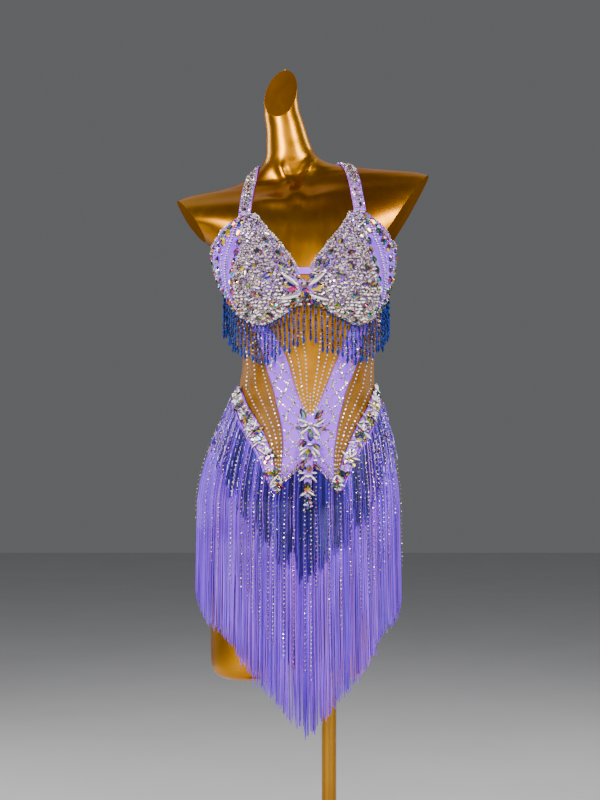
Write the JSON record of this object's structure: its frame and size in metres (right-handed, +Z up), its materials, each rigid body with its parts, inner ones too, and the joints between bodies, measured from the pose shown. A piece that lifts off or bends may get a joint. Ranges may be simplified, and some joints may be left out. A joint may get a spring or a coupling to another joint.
{
  "type": "latin dance dress on dress form",
  "caption": "Fitted dance dress with padded stoned cups, straps, mesh insets, beaded bust fringe and long hip fringe, on a limbless gold dress form with pole and round base.",
  "frame": {"origin": "centre of the round base plate's underside, on the pole's axis and on the floor", "axes": "+Z up along the pole; the dress faces -Y; +X is the right-hand side of someone facing the front"},
  "size_m": [0.4486, 0.38, 1.561],
  "materials": {
    "form_gold": "metallised gold lacquer, high gloss",
    "stand_gold": "gold lacquered steel tube with collars",
    "base_gold": "gold lacquered steel plate",
    "cup_cloth": "lilac stretch cloth over moulded foam",
    "band_cloth": "doubled lilac stretch cloth",
    "tan_mesh": "fine tan power mesh, half see-through",
    "lilac_cloth": "smooth lilac stretch cloth with a soft sheen",
    "lilac_fringe": "silky lilac stretch fringe",
    "indigo_fringe": "blue-violet beaded fringe",
    "royal_beads": "royal-blue glass beads on thread",
    "crystal": "clear and rainbow-coated cut stones with pearls"
  },
  "bodies": {
    "root": {"display_form": "form_gold", "pole": "stand_gold", "base_plate": "base_gold", "cup_left": "cup_cloth", "cup_right": "cup_cloth", "gore": "band_cloth", "strap_left": "band_cloth", "strap_right": "band_cloth", "back_band": "band_cloth", "front_mesh": "tan_mesh", "side_mesh_left": "tan_mesh", "side_mesh_right": "tan_mesh", "back_mesh": "tan_mesh", "v_panel_left": "lilac_cloth", "v_panel_right": "lilac_cloth", "slip_front": "lilac_cloth", "slip_back": "lilac_cloth", "long_fringe": "lilac_fringe", "short_fringe": "indigo_fringe", "beaded_fringe": "royal_beads", "centre_crystals": "crystal", "hip_crystals_left": "crystal", "hip_crystals_right": "crystal", "bow_crystals": "crystal"}
  },
  "joints": []
}
